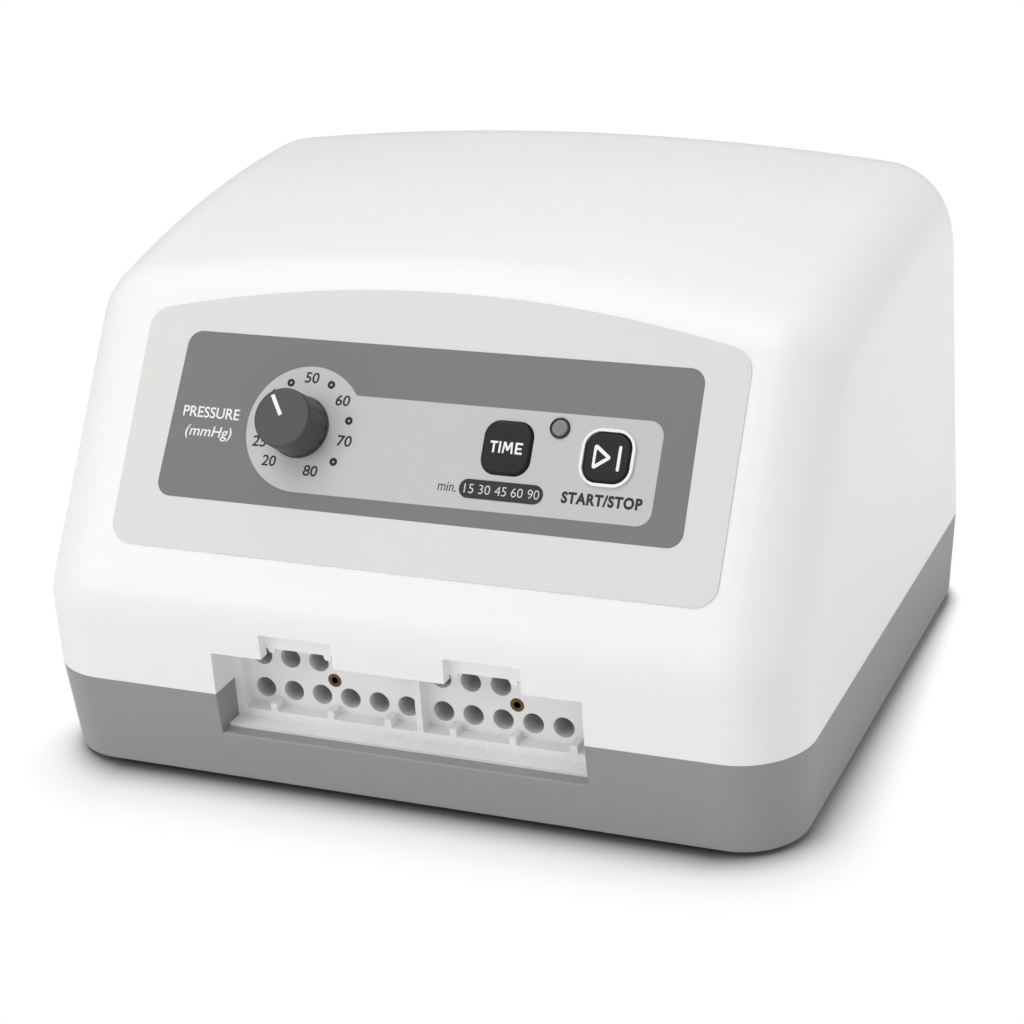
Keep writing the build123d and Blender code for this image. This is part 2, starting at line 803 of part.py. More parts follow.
def port_spots():
    """Middle of every air port, across and up."""
    spots = []
    for mid in bay_mids:
        for step in range(port_count):
            x = mid + (step - (port_count - 1) / 2) * port_pitch
            spots.append((x, lower_port_z))
            if step < upper_port_count:
                spots.append((x, upper_port_z))
    return spots


def cover_screw_spots():
    inset = cover_margin + cover_screw_inset
    return [(x, z) for x in (-opening_left + inset, bay_middle, opening_right - inset)
            for z in (opening_floor + cover_screw_inset + 1, block_top - cover_screw_inset - 1)]


def manifold_block():
    left = -opening_left - block_lap
    right = opening_right + block_lap
    block = box(left, right, block_front, block_back, opening_floor, block_top)
    block += box(-opening_left + 0.1, opening_right - 0.1, block_front - foot_plate_reach, block_front,
                 opening_floor, opening_floor + foot_plate_thick)
    for x in ear_mids:
        block += box(x - ear_length / 2, x + ear_length / 2, ear_y - ear_width / 2, ear_y + ear_width / 2,
                     opening_floor, opening_floor + ear_thick)
        block -= rod(x, ear_y, opening_floor - 1, opening_floor + ear_thick + 1, manifold_screw_radius)
    for mid in bay_mids:
        block -= box(mid - pocket_width / 2, mid + pocket_width / 2, block_front - 1, port_face,
                     pocket_floor, pocket_top)
        for pair in (-1, 0, 1):
            x = mid + pair * 2 * port_pitch
            block += box(x - rib_thick / 2, x + rib_thick / 2, block_front, port_face,
                         pocket_floor, pocket_floor + rib_height)
        block -= rod_y(mid, port_face - 1, port_face + insert_length, insert_z, insert_radius)
    for x, z in port_spots():
        block -= rod_y(x, port_face - 1, port_face + port_depth, z, port_radius)
        block -= rod_y(x, port_face + port_depth - 1, block_back + 1, z, feed_radius)
    for x, z in cover_screw_spots():
        block -= rod_y(x, cover_back - cover_screw_length, block_back + 1, z, manifold_screw_radius)
    return block


def threaded_inserts():
    return [rod_y(mid, port_face, port_face + insert_length, insert_z, insert_radius)
            - rod_y(mid, port_face - 1, port_face + insert_length + 1, insert_z, insert_bore_radius)
            for mid in bay_mids]


def manifold_cover():
    """Rear plate of the manifold, channelled inside, with one barb for each outlet hose."""
    plate = box(-opening_left + cover_margin, opening_right - cover_margin, block_back, cover_back,
                opening_floor + 1, block_top - 1)
    for x, z in cover_screw_spots():
        plate -= rod_y(x, block_back - 1, cover_back + 1, z, manifold_screw_radius)
    for x in outlet_xs:
        plate += rod_y(x, cover_back - 1, cover_back + barb_length, outlet_z, barb_radius)
        plate -= rod_y(x, block_back - 1, cover_back + barb_length + 1, outlet_z, barb_bore_radius)
    return plate


def manifold_screws():
    screws = []
    for x in ear_mids:
        top = opening_floor + ear_thick
        screws.append(rod(x, ear_y, top - manifold_screw_length, top, manifold_screw_radius)
                      + rod(x, ear_y, top, top + manifold_screw_head, manifold_screw_head_radius))
    for x, z in cover_screw_spots():
        screws.append(rod_y(x, cover_back - cover_screw_length, cover_back, z, manifold_screw_radius)
                      + rod_y(x, cover_back, cover_back + manifold_screw_head, z, manifold_screw_head_radius))
    return screws


def plug_keeper(mid):
    """Bracket behind a notch: a bar across it with a tab at each end."""
    half = notch_width / 2
    y0 = rim_back
    y1 = rim_back + keeper_thick
    keeper = box(mid - half - keeper_lap, mid + half + keeper_lap, y0, y1, keeper_bottom, hood_roof)
    for x0, low in ((mid - half + 0.6, keeper_tab_bottom + 0.3),
                    (mid + half - keeper_lap - keeper_tab_width, keeper_tab_bottom)):
        tab = box(x0, x0 + keeper_tab_width, y0, y1, low, keeper_bottom + 1)
        keeper += fillet(tab.edges().filter_by(Axis.Y).sort_by(Axis.Z)[:2], keeper_tab_width / 2 - 0.1)
    return keeper


def tube(points, bend, name):
    """Hose along straight runs joined by tangent arcs, over the barbs at its ends."""
    path = FilletPolyline(*points, radius=bend)
    start = Plane(origin=path @ 0, z_dir=path % 0)
    ring = Circle(hose_radius) - Circle(barb_radius)
    hose = sweep(start * ring, path=path)
    section = pi * (hose_radius ** 2 - barb_radius ** 2)
    print(name, "bend", bend, "volume over section times length",
          round(hose.volume / section / path.length, 4))
    return hose


def outlet_hose(step):
    x0 = outlet_xs[step]
    x1 = valve_outlet_xs[step]
    y0 = cover_back
    y1 = valve_y - valve_front
    run = (y1 - y0) / 4
    points = [(x0, y0, outlet_z), (x0, y0 + run, outlet_z), (x1, y1 - run, valve_outlet_z),
              (x1, y1, valve_outlet_z)]
    return tube(points, hose_bend, "outlet_hose_" + str(step + 1))


def arch(x0, y0, x1, y1, z0, z1, name):
    """Hose that stands up off one nipple, passes over and drops onto another."""
    top = max(z0, z1) + hose_rise
    return tube([(x0, y0, z0), (x0, y0, top), (x1, y1, top), (x1, y1, z1)], hose_bend, name)


head_top = axis_z + head_height / 2
head_x = core_half + end_thick + diaphragm_thick + nipple_inset


def supply_hose():
    return arch(pump_x + head_x, pump_y - nipple_spread, valve_x, valve_y, head_top,
                valve_top + valve_cover_thick, "supply_hose")


def balance_hose():
    return arch(pump_x - head_x, pump_y + nipple_spread, pump_x + head_x, pump_y + nipple_spread,
                head_top, head_top, "balance_hose")


def valve_motor():
    motor = slab(valve_x, valve_y, motor_size, motor_size, 4, motor_base, valve_base)
    return motor - rod(valve_x, valve_y, valve_base - valve_shaft_tail, valve_base + 1,
                       valve_shaft_radius + valve_shaft_clearance)


def valve_screw_spots():
    reach = valve_screw_shift / 2 ** 0.5
    return [(valve_x + sx * reach, valve_y + sy * reach) for sx in (-1, 1) for sy in (-1, 1)]


def valve_body():
    body = rod(valve_x, valve_y, valve_base, valve_top, valve_radius)
    body &= box(valve_x - valve_radius, valve_x + valve_radius, valve_y - valve_front,
                valve_y + valve_radius, valve_base, valve_top)
    body -= rod(valve_x, valve_y, chamber_base, valve_top + 1, rotor_radius + rotor_side_gap)
    body -= rod(valve_x, valve_y, valve_base - 1, valve_top, valve_shaft_radius + valve_shaft_clearance)
    for x in valve_outlet_xs:
        body += rod_y(x, valve_y - valve_front - barb_length, valve_y - valve_front + 0.4,
                      valve_outlet_z, barb_radius)
        body -= rod_y(x, valve_y - valve_front - barb_length - 1, valve_y, valve_outlet_z, barb_bore_radius)
    for x, y in valve_screw_spots():
        body -= rod(x, y, valve_base + 2, valve_top + 1, valve_screw_radius)
    return body


def valve_rotor():
    rotor = rod(valve_x, valve_y, chamber_base + rotor_end_gap,
                chamber_base + rotor_end_gap + rotor_height, rotor_radius)
    rotor -= rod(valve_x + rotor_slot_shift, valve_y, chamber_base, valve_top, rotor_slot_radius)
    return rotor + rod(valve_x, valve_y, valve_base - valve_shaft_tail + 0.3, chamber_base + 2,
                       valve_shaft_radius)


def valve_cover():
    top = valve_top + valve_cover_thick
    cover = rod(valve_x, valve_y, valve_top, top, valve_radius)
    cover &= box(valve_x - valve_radius, valve_x + valve_radius, valve_y - valve_front,
                valve_y + valve_radius, valve_top, top)
    cover += rod(valve_x, valve_y, top - 1, top + nipple_length, barb_radius)
    cover -= rod(valve_x, valve_y, valve_top - 1, top + nipple_length + 1, barb_bore_radius)
    for x, y in valve_screw_spots():
        cover -= rod(x, y, valve_top - 1, top + 1, valve_screw_radius)
    return cover


def valve_screws():
    top = valve_top + valve_cover_thick
    return [rod(x, y, valve_base + 4, top, valve_screw_radius)
            + rod(x, y, top, top + manifold_screw_head, manifold_screw_head_radius)
            for x, y in valve_screw_spots()]


def pump_place(shape):
    return Pos(pump_x, pump_y, axis_z) * shape


def pump_plate():
    return Pos(pump_x, pump_y) * slab(0, 0, plate_length, plate_width, 6, plate_base, plate_top)


def rubber_mounts():
    low = floor_z + mount_pad_height
    return [rod(x, y, low, plate_base, mount_radius) for x, y in mount_spots()]


def stator_cores():
    """Two U-shaped laminated cores that face the armature from both sides."""
    cores = []
    for side in (-1, 1):
        low = min(side * core_inner, side * core_outer)
        high = max(side * core_inner, side * core_outer)
        core = box(-core_half, core_half, low, high, -core_height / 2, core_height / 2)
        inner = sorted([side * (core_inner - 1), side * (core_outer - core_yoke)])
        core -= box(-core_half + core_leg, core_half - core_leg, inner[0], inner[1], -core_height, core_height)
        cores.append(pump_place(core))
    return cores


def stator_coils():
    coils = []
    half = core_half - core_leg - 0.5
    for side in (-1, 1):
        low, high = sorted([side * (core_outer - core_yoke), side * core_outer])
        coil = box(-half, half, low - coil_build, high + coil_build,
                   -core_height / 2 - coil_build, core_height / 2 + coil_build)
        coil -= box(-half - 1, half + 1, low, high, -core_height / 2, core_height / 2)
        coils.append(pump_place(coil))
    return coils


def end_frames():
    frames = []
    for side in (-1, 1):
        low, high = sorted([side * core_half, side * (core_half + end_thick)])
        frame = box(low, high, -end_half - 4, end_half + 4, -end_height / 2, end_height / 2)
        frames.append(pump_place(frame - rod_x(low - 1, high + 1, 0, 0, chamber_radius)))
    return frames


def diaphragms():
    rings = []
    for side in (-1, 1):
        low, high = sorted([side * (core_half + end_thick), side * (core_half + end_thick + diaphragm_thick)])
        ring = rod_x(low, high, 0, 0, diaphragm_radius)
        rings.append(pump_place(ring - rod_x(low - 1, high + 1, 0, 0, piston_radius + piston_gap)))
    return rings


def armature():
    """Magnet plate on a rod with a piston disc at each end."""
    reach = core_half + end_thick + diaphragm_thick / 2
    body = box(-armature_half, armature_half, -armature_width / 2, armature_width / 2,
               -armature_height / 2, armature_height / 2)
    body += rod_x(-reach, reach, 0, 0, armature_rod_radius)
    for side in (-1, 1):
        low, high = sorted([side * (reach - piston_thick / 2), side * (reach + piston_thick / 2)])
        body += rod_x(low, high, 0, 0, piston_radius)
    return pump_place(body)


def pump_heads():
    heads = []
    inner = core_half + end_thick + diaphragm_thick
    spreads = {-1: (nipple_spread,), 1: (-nipple_spread, nipple_spread)}
    for side in (-1, 1):
        low, high = sorted([side * inner, side * (inner + head_depth)])
        head = box(low, high, -head_half, head_half, -head_height / 2, head_height / 2)
        for spread in spreads[side]:
            spot = (side * head_x, spread)
            head += rod(*spot, head_height / 2 - 1, head_height / 2 + nipple_length, barb_radius)
            head -= rod(*spot, 0, head_height / 2 + nipple_length + 1, barb_bore_radius)
        chamber = sorted([side * (inner - 1), side * (inner + head_chamber)])
        heads.append(pump_place(head - rod_x(chamber[0], chamber[1], 0, 0, chamber_radius)))
    return heads


def intake_filter():
    filter_cup = rod(filter_x, filter_y, floor_z, floor_z + filter_height, filter_radius)
    filter_cup = fillet(filter_cup.edges().sort_by(Axis.Z)[-1], 2)
    return filter_cup - rod(filter_x, filter_y, floor_z + 3, floor_z + filter_height + 1, filter_radius / 3)


def transformer_core():
    half = lamination_length / 2
    core = box(-half, half, -lamination_width / 2, lamination_width / 2, 0, lamination_height)
    for side in (-1, 1):
        window = sorted([side * lamination_middle / 2, side * (half - lamination_leg)])
        core -= box(window[0], window[1], -lamination_width, lamination_width,
                    lamination_leg, lamination_height - lamination_leg)
    strap = box(-bracket_length / 2, bracket_length / 2, -lamination_width / 4, lamination_width / 4,
                0, bracket_thick)
    return Pos(core_x, core_y, floor_z) * (core + strap)


def transformer_winding():
    half = lamination_middle / 2 + winding_build
    low = lamination_leg + winding_gap
    high = lamination_height - lamination_leg - winding_gap
    coil = box(-half, half, -lamination_width / 2 - winding_build, lamination_width / 2 + winding_build,
               low, high)
    coil -= box(-lamination_middle / 2, lamination_middle / 2, -lamination_width / 2, lamination_width / 2,
                0, lamination_height)
    return Pos(core_x, core_y, floor_z) * coil


supply_low = floor_z + supply_pad_height
supply_top = supply_low + supply_board_thick


def supply_board():
    board = slab(supply_x, supply_y, supply_length, supply_width, 2, supply_low, supply_top)
    for x, y in supply_spots():
        board -= rod(x, y, 0, supply_top + 1, supply_screw_radius)
    return board


def supply_parts():
    """Two capacitors and a heat sink on the supply board."""
    reach = supply_width / 4
    parts = [rod(supply_x - supply_length / 4, supply_y + side * reach / 2, supply_top,
                 supply_top + capacitor_height, capacitor_radius - 0.5) for side in (-1, 1)]
    sink_x = supply_x + supply_length / 2 - heatsink_thick - heatsink_edge_gap
    parts.append(box(sink_x, sink_x + heatsink_thick, supply_y - heatsink_length / 2,
                     supply_y + heatsink_length / 2, supply_top, supply_top + heatsink_height))
    return parts


def supply_screws():
    return [rod(x, y, supply_low - supply_screw_bite + 1, supply_top, supply_screw_radius)
            + rod(x, y, supply_top, supply_top + supply_screw_head, supply_screw_head_radius)
            for x, y in supply_spots()]


def inlet_housing():
    """Mains socket, fuse drawer slot and switch bay in one flanged block."""
    floor = -recess_depth
    flange = slab(recess_x, 0, inlet_width, inlet_height, 4, floor, floor + inlet_flange)
    block = box(recess_x - inlet_body_width / 2, recess_x + inlet_body_width / 2, -inlet_body_height / 2,
                inlet_body_height / 2, floor - inlet_body_depth, floor)
    housing = flange + block
    top = floor + inlet_flange
    housing -= slab(recess_x + socket_shift, socket_lift, socket_width, socket_height, 3,
                    top - socket_depth, top + 1)
    housing -= fuse_slot(fuse_gap / 2, top - fuse_depth - 0.5, top + 1)
    housing -= rocker_bay(rocker_gap, top - rocker_depth, top + 1)
    bore = rocker_pin_radius + rocker_bore_clearance
    housing -= rocker_pin(rocker_width / 2 + rocker_gap + 1.6, bore)
    for side in (-1, 1):
        housing -= rod(recess_x + side * inlet_screw_spacing / 2, 0, floor - 1, top + 1, inlet_screw_radius)
    return rear * housing


def fuse_slot(clearance, z0, z1):
    x = recess_x + socket_shift
    return box(x - fuse_width / 2 - clearance, x + fuse_width / 2 + clearance,
               fuse_lift - fuse_height / 2 - clearance, fuse_lift + fuse_height / 2 + clearance, z0, z1)


def rocker_bay(clearance, z0, z1):
    x = recess_x + rocker_shift
    return box(x - rocker_width / 2 - clearance, x + rocker_width / 2 + clearance,
               -rocker_height / 2 - clearance, rocker_height / 2 + clearance, z0, z1)


rocker_axis_z = -recess_depth + inlet_flange - 3.0


def rocker_pin(half, radius):
    return rod_x(recess_x + rocker_shift - half, recess_x + rocker_shift + half, 0, rocker_axis_z, radius)


def inlet_pins():
    floor = -recess_depth + inlet_flange - socket_depth
    middle = recess_x + socket_shift
    pins = []
    for shift, lift in ((-pin_spacing, -pin_offset), (0, pin_offset), (pin_spacing, -pin_offset)):
        x = middle + shift
        z = socket_lift + lift
        pins.append(rear * box(x - pin_width / 2, x + pin_width / 2, z - pin_height / 2, z + pin_height / 2,
                               floor, floor + pin_length))
    return pins


def fuse_drawer():
    top = -recess_depth + inlet_flange
    drawer = fuse_slot(-fuse_gap / 2, top - fuse_depth, top)
    lip = fuse_slot(0.6, top + 0.2, top + 1.2)
    stub = fuse_slot(-fuse_gap / 2, top - 1, top + 1.2)
    x = recess_x + socket_shift
    drawer -= rod_x(x - fuse_width / 2 + 2, x + fuse_width / 2 - 2, fuse_lift, top - fuse_depth / 2, 2.2)
    return rear * (drawer + lip + stub)


def power_rocker():
    """Rocker with a shallow V across its face, on a pin across its middle."""
    half = rocker_height / 2 - rocker_gap
    x0 = recess_x + rocker_shift - rocker_width / 2
    crest = rocker_height / 2 * tan(radians(rocker_swing))
    face = 1.6
    side = [(half, rocker_axis_z + face + crest), (0, rocker_axis_z + face), (-half, rocker_axis_z + face + crest),
            (-half + 1.6, rocker_axis_z - 1.6), (0, rocker_axis_z - 3.4), (half - 1.6, rocker_axis_z - 1.6)]
    section = Plane(origin=(x0, 0, 0), x_dir=(0, 1, 0), z_dir=(1, 0, 0)) * make_face(Polyline(side, close=True))
    rocker = extrude(section, amount=rocker_width)
    rocker += rocker_pin(rocker_width / 2 + rocker_gap + 1.5, rocker_pin_radius)
    return rear * rocker.rotate(Axis((0, 0, rocker_axis_z), (1, 0, 0)), -rocker_swing)


def inlet_screws():
    top = -recess_depth + inlet_flange
    return [rear * (rod(recess_x + side * inlet_screw_spacing / 2, 0, top - inlet_screw_length, top,
                        inlet_screw_radius)
                    + rod(recess_x + side * inlet_screw_spacing / 2, 0, top, top + inlet_screw_head,
                          inlet_screw_head_radius)) for side in (-1, 1)]


fan_top = rear_inner - fan_post_height
fan_low = fan_top - fan_depth


def fan_frame():
    frame = slab(fan_x, 0, fan_size, fan_size, 4, fan_low, fan_top)
    frame -= rod(fan_x, 0, fan_low - 1, fan_top + 1, fan_bore_radius)
    hub = rod(fan_x, 0, fan_low, fan_low + fan_spoke_depth, fan_hub_radius)
    for turn in (45, 135):
        hub += Pos(fan_x, 0) * Rot(0, 0, turn) * box(-fan_bore_radius - 1, fan_bore_radius + 1, -fan_spoke / 2,
                                                      fan_spoke / 2, fan_low, fan_low + fan_spoke_depth)
    frame += hub + rod(fan_x, 0, fan_low, fan_top - 3, fan_spindle_radius)
    for u, v in fan_posts():
        frame -= rod(u, v, fan_low - 1, fan_top + 1, fan_screw_radius)
    return rear * frame


def fan_rotor():
    low = fan_low + fan_spoke_depth + 0.3
    high = fan_top - 1.2
    hub = rod(0, 0, low, high, fan_hub_radius)
    reach = fan_bore_radius - fan_blade_gap
    for step in range(fan_blade_count):
        blade = Rot(38, 0, 0) * Box(reach - fan_hub_radius + 2, (high - low) * 1.1, fan_blade_thick)
        blade = Pos((reach + fan_hub_radius - 2) / 2, 0, (low + high) / 2) * blade
        hub += Rot(0, 0, 360 * step / fan_blade_count) * blade
    hub &= rod(0, 0, low, high, reach)
    hub -= rod(0, 0, low - 1, high - 1.5, fan_spindle_radius + fan_spindle_clearance)
    return rear * (Pos(fan_x, 0) * hub)


def fan_screws():
    return [rear * (rod(u, v, fan_low, fan_top + fan_post_height, fan_screw_radius)
                    + rod(u, v, fan_low - fan_screw_head, fan_low, fan_screw_head_radius))
            for u, v in fan_posts()]


def rubber_feet():
    return [rod(x, y, 0, foot_stand + foot_sunk, foot_radius) for x, y in feet()]


def case_screws():
    seat = foot_stand + case_screw_seat
    return [rod(x, y, seat, parting_z + case_screw_bite, case_screw_radius)
            + rod(x, y, seat - case_screw_head, seat, case_screw_head_radius) for x, y in posts]


os.makedirs("parts", exist_ok=True)
save("upper_shell", upper_shell())
save("base_tray", base_tray())
save("panel_overlay", panel_overlay())
save("pressure_knob", pressure_knob())
save("knob_pointer", slope * pointer_bar())
save("potentiometer", potentiometer())
save("pot_shaft", pot_shaft())
save("pot_nut", pot_nut())
save("time_button", key("time", key_proud))
save("start_button", key("start", key_proud))
save("start_surround", start_surround())
save("status_lens", lamp_lens())
save("status_bezel", lamp_bezel())
save("time_window", time_window())
save("control_board", control_board())
save("board_screws", *board_screws())
save("key_switches", *key_switches())
save("indicator_leds", *indicator_leds())
save("manifold_block", manifold_block())
for side, insert, mid in zip(("left", "right"), threaded_inserts(), notch_mids):
    save("threaded_insert_" + side, insert)
    save("plug_keeper_" + side, plug_keeper(mid))
save("manifold_cover", manifold_cover())
save("manifold_screws", *manifold_screws())
for number in range(outlet_count):
    save("outlet_hose_" + str(number + 1), outlet_hose(number))
save("supply_hose", supply_hose())
save("balance_hose", balance_hose())
save("valve_motor", valve_motor())
save("valve_body", valve_body())
save("valve_rotor", valve_rotor())
save("valve_cover", valve_cover())
save("valve_screws", *valve_screws())
save("pump_plate", pump_plate())
save("rubber_mounts", *rubber_mounts())
save("stator_cores", *stator_cores())
save("stator_coils", *stator_coils())
save("end_frames", *end_frames())
save("diaphragms", *diaphragms())
save("armature", armature())
save("pump_heads", *pump_heads())
save("intake_filter", intake_filter())
save("transformer_core", transformer_core())
save("transformer_winding", transformer_winding())
save("supply_board", supply_board())
save("supply_parts", *supply_parts())
save("supply_screws", *supply_screws())
save("inlet_housing", inlet_housing())
save("inlet_pins", *inlet_pins())
save("fuse_drawer", fuse_drawer())
save("power_rocker", power_rocker())
save("inlet_screws", *inlet_screws())
save("fan_frame", fan_frame())
save("fan_rotor", fan_rotor())
save("fan_screws", *fan_screws())
save("rubber_feet", *rubber_feet())
save("case_screws", *case_screws())
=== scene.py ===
from math import cos, radians, sin, tan

import bpy
import bmesh
from mathutils import Matrix, Vector


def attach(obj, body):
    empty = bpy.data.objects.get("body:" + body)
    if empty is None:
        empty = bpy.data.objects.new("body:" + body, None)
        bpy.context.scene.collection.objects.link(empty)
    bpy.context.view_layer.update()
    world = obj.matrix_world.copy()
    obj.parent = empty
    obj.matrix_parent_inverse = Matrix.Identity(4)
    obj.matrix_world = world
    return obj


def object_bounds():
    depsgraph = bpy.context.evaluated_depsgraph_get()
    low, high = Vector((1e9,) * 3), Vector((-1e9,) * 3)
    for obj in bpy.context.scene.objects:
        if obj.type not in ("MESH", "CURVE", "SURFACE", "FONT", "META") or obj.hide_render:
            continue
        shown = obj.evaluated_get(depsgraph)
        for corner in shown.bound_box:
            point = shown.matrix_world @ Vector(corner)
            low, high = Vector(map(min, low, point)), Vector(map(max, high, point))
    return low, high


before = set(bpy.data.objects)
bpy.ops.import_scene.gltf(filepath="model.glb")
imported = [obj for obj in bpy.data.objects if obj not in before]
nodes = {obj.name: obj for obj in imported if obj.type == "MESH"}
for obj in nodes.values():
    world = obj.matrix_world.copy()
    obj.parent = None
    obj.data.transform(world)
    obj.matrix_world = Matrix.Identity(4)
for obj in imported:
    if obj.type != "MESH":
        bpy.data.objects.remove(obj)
cad_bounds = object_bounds()
scene = bpy.context.scene
MM = 0.001

# Viewpoint. A long lens in front of the right-hand corner, a little above the case,
# tipped slightly anticlockwise, so that the sloped face and the right side both show.
eye = Vector((0.348328, -0.770363, 0.421377))
view_right = Vector((0.9192, 0.38779, -0.06844))
view_up = Vector((-0.09447, 0.38588, 0.9177))
view_back = Vector((0.38228, -0.83709, 0.39133))
lens_mm = 87.457
camera_data = bpy.data.cameras.new("camera")
camera_data.lens = lens_mm
camera_data.sensor_width = 36.0
camera_data.clip_end = 20.0
camera = bpy.data.objects.new("camera", camera_data)
turn = Matrix((view_right, view_up, view_back)).transposed().to_4x4()
camera.matrix_world = Matrix.Translation(eye) @ turn
scene.collection.objects.link(camera)
scene.camera = camera
scene.view_settings.view_transform = "Standard"

# Studio. A white paper sweep under two broad overhead softboxes, with one at the left
# front, faint ones low ahead and at the right front, and a small one behind the right
# side that lifts the tray toward the back.
fill_level = 0.335
camera_white = 1.0
world = bpy.data.worlds.new("studio")
scene.world = world
world.use_nodes = True
world_tree = world.node_tree
ambient = world_tree.nodes["Background"]
ambient.inputs["Color"].default_value = (1.0, 1.0, 1.0, 1.0)
ambient.inputs["Strength"].default_value = fill_level
seen = world_tree.nodes.new("ShaderNodeBackground")
seen.inputs["Color"].default_value = (1.0, 1.0, 1.0, 1.0)
seen.inputs["Strength"].default_value = camera_white
choose = world_tree.nodes.new("ShaderNodeMixShader")
rays = world_tree.nodes.new("ShaderNodeLightPath")
clear = world_tree.nodes.new("ShaderNodeMath")
clear.operation = "MAXIMUM"
world_tree.links.new(rays.outputs["Is Camera Ray"], clear.inputs[0])
world_tree.links.new(rays.outputs["Is Transmission Ray"], clear.inputs[1])
world_tree.links.new(clear.outputs[0], choose.inputs[0])
world_tree.links.new(ambient.outputs[0], choose.inputs[1])
world_tree.links.new(seen.outputs[0], choose.inputs[2])
world_tree.links.new(choose.outputs[0], world_tree.nodes["World Output"].inputs["Surface"])


def softbox(name, place, target, width, height, power, mirrored=True):
    """Rectangular lamp turned toward a target; one that isn't mirrored leaves no gloss on the cover."""
    data = bpy.data.lights.new(name, "AREA")
    data.shape = "RECTANGLE"
    data.size = width
    data.size_y = height
    data.energy = power
    lamp = bpy.data.objects.new(name, data)
    aim = (Vector(target) - Vector(place)).to_track_quat("-Z", "Y")
    lamp.matrix_world = Matrix.Translation(place) @ aim.to_matrix().to_4x4()
    lamp.visible_glossy = mirrored
    scene.collection.objects.link(lamp)


softbox("overhead_back", (-0.35, 0.25, 1.7), (0, 0, 0.05), 1.7, 1.4, 7.5)
softbox("overhead_front", (-0.2, -0.7, 1.6), (0, 0, 0.05), 1.4, 1.0, 9.5)
softbox("left_front", (-1.1, -1.5, 1.0), (0, 0, 0.1), 1.2, 0.8, 8.0)
softbox("front_low", (0.1, -1.9, 0.35), (0, 0, 0.1), 1.4, 0.6, 1.6)
softbox("right_front", (1.5, -0.9, 0.6), (0.1, 0, 0.06), 1.0, 0.8, 1.2)
softbox("right_back", (0.95, 0.55, 0.4), (0.12, 0.1, 0.06), 0.5, 0.5, 3.1, mirrored=False)


# Upper shell. White ABS cover, moulded in one piece with the sloped control face and
# the crowned top; a fine even grain leaves it between satin and gloss.
class Field:
    """A shader socket that can be used in plain arithmetic."""

    def __init__(self, tree, socket):
        self.tree = tree
        self.socket = socket

    def maths(self, operation, first, second):
        node = self.tree.nodes.new("ShaderNodeMath")
        node.operation = operation
        for slot, value in zip(node.inputs, (first, second)):
            if isinstance(value, Field):
                self.tree.links.new(value.socket, slot)
            else:
                slot.default_value = value
        return Field(self.tree, node.outputs[0])

    def __add__(self, other):
        return self.maths("ADD", self, other)

    __radd__ = __add__

    def __sub__(self, other):
        return self.maths("SUBTRACT", self, other)

    def __rsub__(self, other):
        return self.maths("SUBTRACT", other, self)

    def __mul__(self, other):
        return self.maths("MULTIPLY", self, other)

    __rmul__ = __mul__

    def __truediv__(self, other):
        return self.maths("DIVIDE", self, other)

    def size(self):
        return self.maths("ABSOLUTE", self, 0.0)

    def root(self):
        return self.maths("SQRT", self, 0.0)

    def at_least(self, other):
        return self.maths("MAXIMUM", self, other)

    def at_most(self, other):
        return self.maths("MINIMUM", self, other)


class Finish:
    """A material under construction: its node tree, surface shader and Object coordinates."""

    def __init__(self, name):
        self.material = bpy.data.materials.new(name)
        self.material.use_nodes = True
        self.tree = self.material.node_tree
        self.surface = self.tree.nodes["Principled BSDF"]
        self.place = self.node("ShaderNodeTexCoord", {}, {})["Object"]

    def node(self, kind, settings, inputs):
        made = self.tree.nodes.new(kind)
        for name, value in settings.items():
            setattr(made, name, value)
        for name, value in inputs.items():
            if isinstance(value, Field):
                self.tree.links.new(value.socket, made.inputs[name])
            else:
                made.inputs[name].default_value = value
        return {out.name: Field(self.tree, out) for out in made.outputs}

    def noise(self, scale, detail=2.0, stretch=(1, 1, 1)):
        """Smooth noise, in features per metre, about 0.5 in the middle."""
        place = self.node("ShaderNodeMapping", {}, {"Vector": self.place, "Scale": stretch})["Vector"]
        inputs = {"Vector": place, "Scale": scale, "Detail": detail}
        return self.node("ShaderNodeTexNoise", {}, inputs)["Fac"]

    def split(self):
        """The three Object coordinates, one by one."""
        parts = self.node("ShaderNodeSeparateXYZ", {}, {"Vector": self.place})
        return parts["X"], parts["Y"], parts["Z"]

    def blend(self, amount, dark, light):
        """Colour between two colours."""
        mix = self.tree.nodes.new("ShaderNodeMix")
        mix.data_type = "RGBA"
        for name, kind, value in (("Factor", "VALUE", amount), ("A", "RGBA", dark), ("B", "RGBA", light)):
            slot = [each for each in mix.inputs if each.name == name and each.type == kind][0]
            if isinstance(value, Field):
                self.tree.links.new(value.socket, slot)
            else:
                slot.default_value = value if kind == "VALUE" else (*value, 1.0)
        out = [each for each in mix.outputs if each.type == "RGBA"][0]
        return Field(self.tree, out)

    def relief(self, height, depth):
        """Bump from a height field, depth in metres."""
        inputs = {"Height": height, "Distance": depth, "Strength": 1.0}
        return self.node("ShaderNodeBump", {}, inputs)["Normal"]

    def set(self, **values):
        for name, value in values.items():
            slot = self.surface.inputs[name.replace("_", " ")]
            if isinstance(value, Field):
                self.tree.links.new(value.socket, slot)
            else:
                slot.default_value = (*value, 1.0) if isinstance(value, tuple) else value
        return self.material


def level(shade):
    """Linear value of a grey given as it looks, 0 to 1."""
    return shade / 12.92 if shade <= 0.04045 else ((shade + 0.055) / 1.055) ** 2.4


def paint(red, green, blue):
    return level(red), level(green), level(blue)


